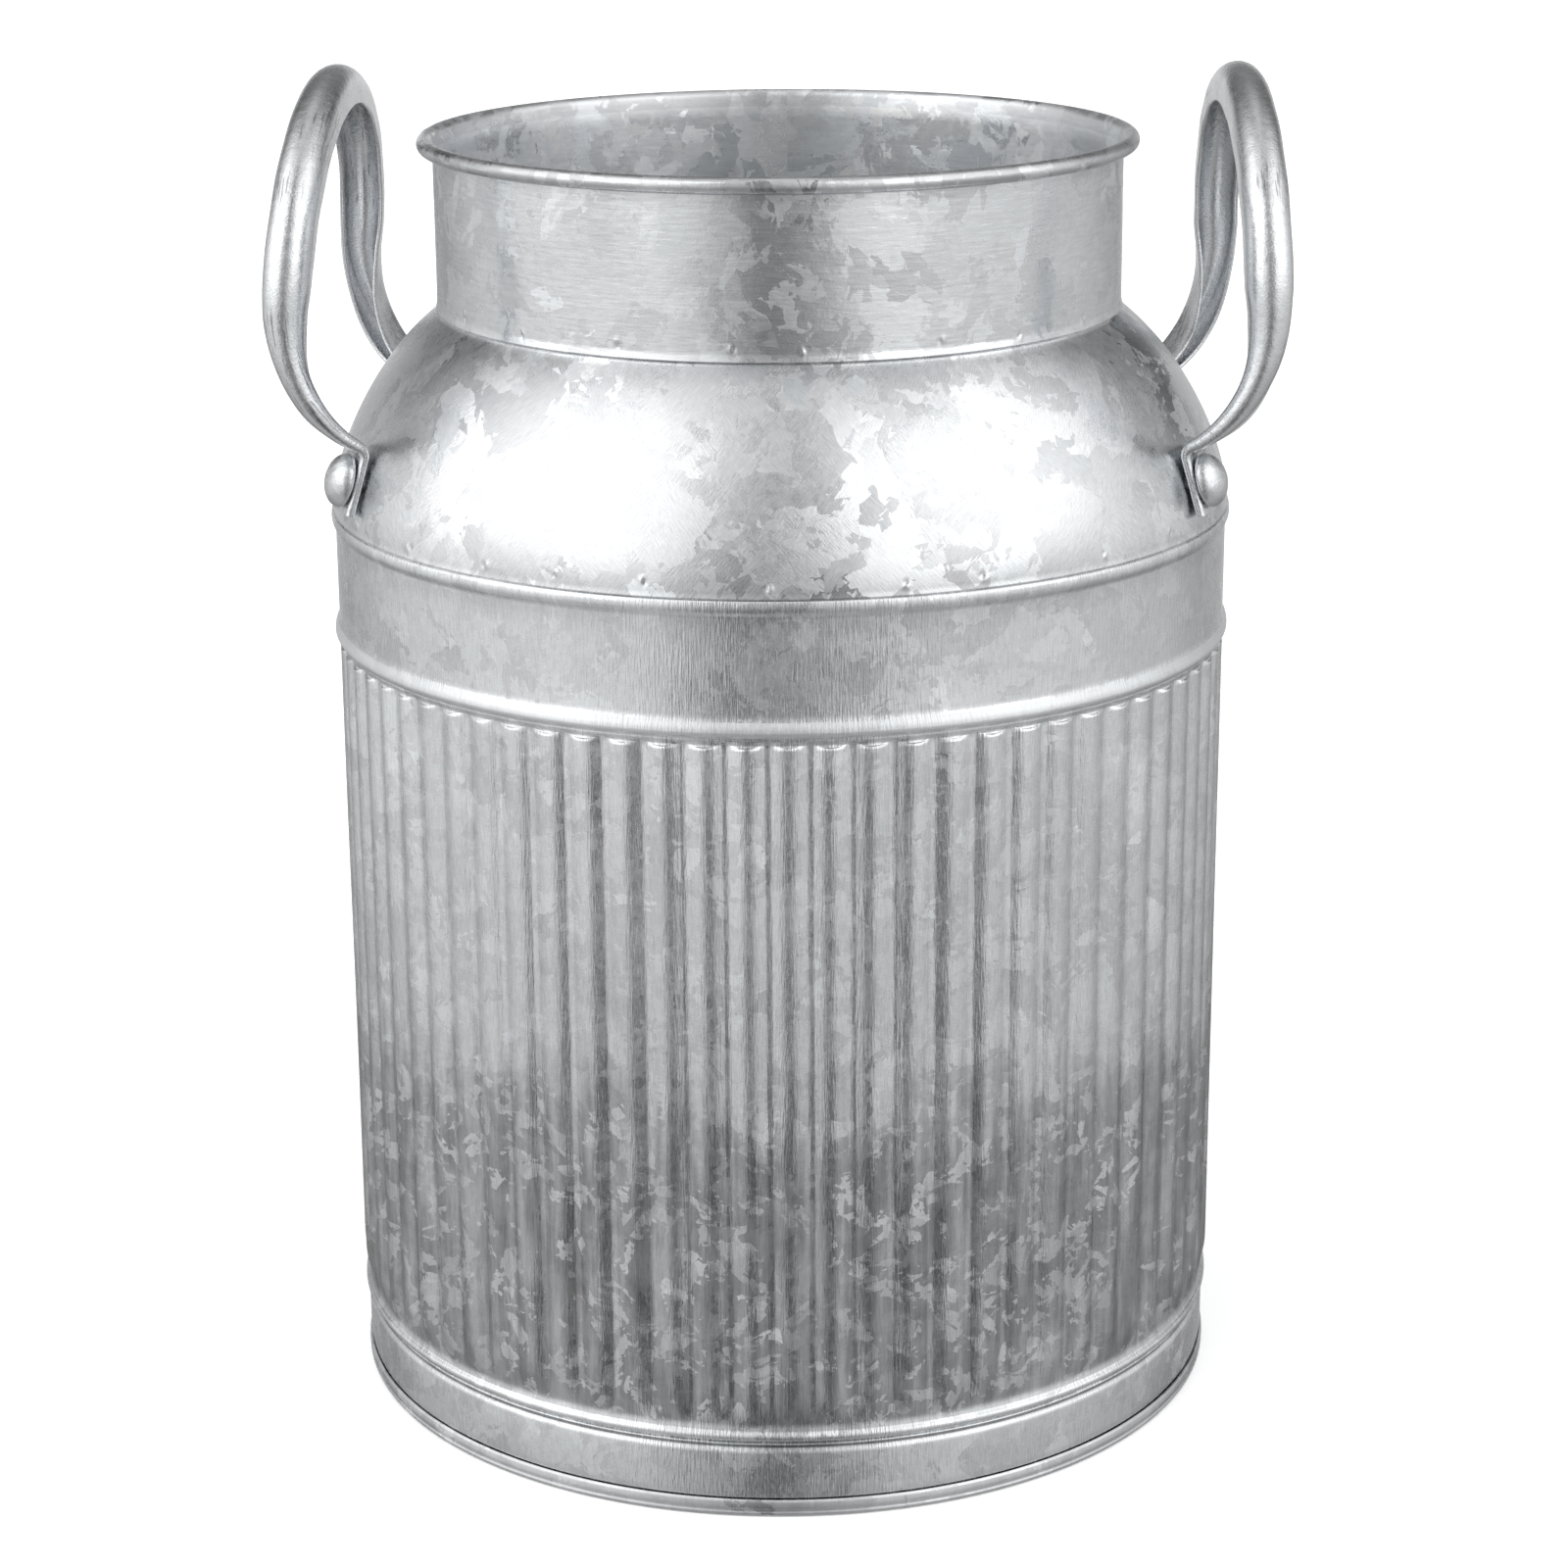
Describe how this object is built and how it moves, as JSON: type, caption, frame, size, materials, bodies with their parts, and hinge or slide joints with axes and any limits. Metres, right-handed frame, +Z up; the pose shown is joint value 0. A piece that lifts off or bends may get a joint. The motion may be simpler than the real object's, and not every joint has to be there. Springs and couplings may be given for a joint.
{
  "type": "milk can",
  "caption": "Open galvanised sheet-steel milk can: ribbed cylinder, domed shoulder, straight neck with a rolled rim and two upright riveted handles.",
  "frame": {"origin": "on the floor, at the vertical axis of the can", "axes": "+Z up along the can's axis; +X towards the right handle and -Y towards the viewer, seen from the front"},
  "size_m": [0.1833, 0.1704, 0.253],
  "materials": {
    "zinc_body": "hot-dip galvanised, medium zinc spangle, satin, dulled towards the foot",
    "zinc_shoulder": "hot-dip galvanised, zinc spangle, bright satin",
    "zinc_collar": "hot-dip galvanised, zinc spangle with fine level brush marks",
    "zinc_base": "hot-dip galvanised, dull satin",
    "zinc_handle": "hot-dip galvanised, speckled satin, a few dark scratches",
    "zinc_rivet": "galvanised, satin dome with a rough dark edge",
    "steel_wire": "plain drawn steel, hidden inside the rim",
    "steel_washer": "plain steel, dull"
  },
  "bodies": {
    "root": {"base": "zinc_base", "body": "zinc_body", "shoulder": "zinc_shoulder", "collar": "zinc_collar", "rim_wire": "steel_wire", "handle_left": "zinc_handle", "handle_right": "zinc_handle", "rivet_left_front": "zinc_rivet", "washer_left_front": "steel_washer", "rivet_left_back": "zinc_rivet", "washer_left_back": "steel_washer", "rivet_right_front": "zinc_rivet", "washer_right_front": "steel_washer", "rivet_right_back": "zinc_rivet", "washer_right_back": "steel_washer"}
  },
  "joints": []
}
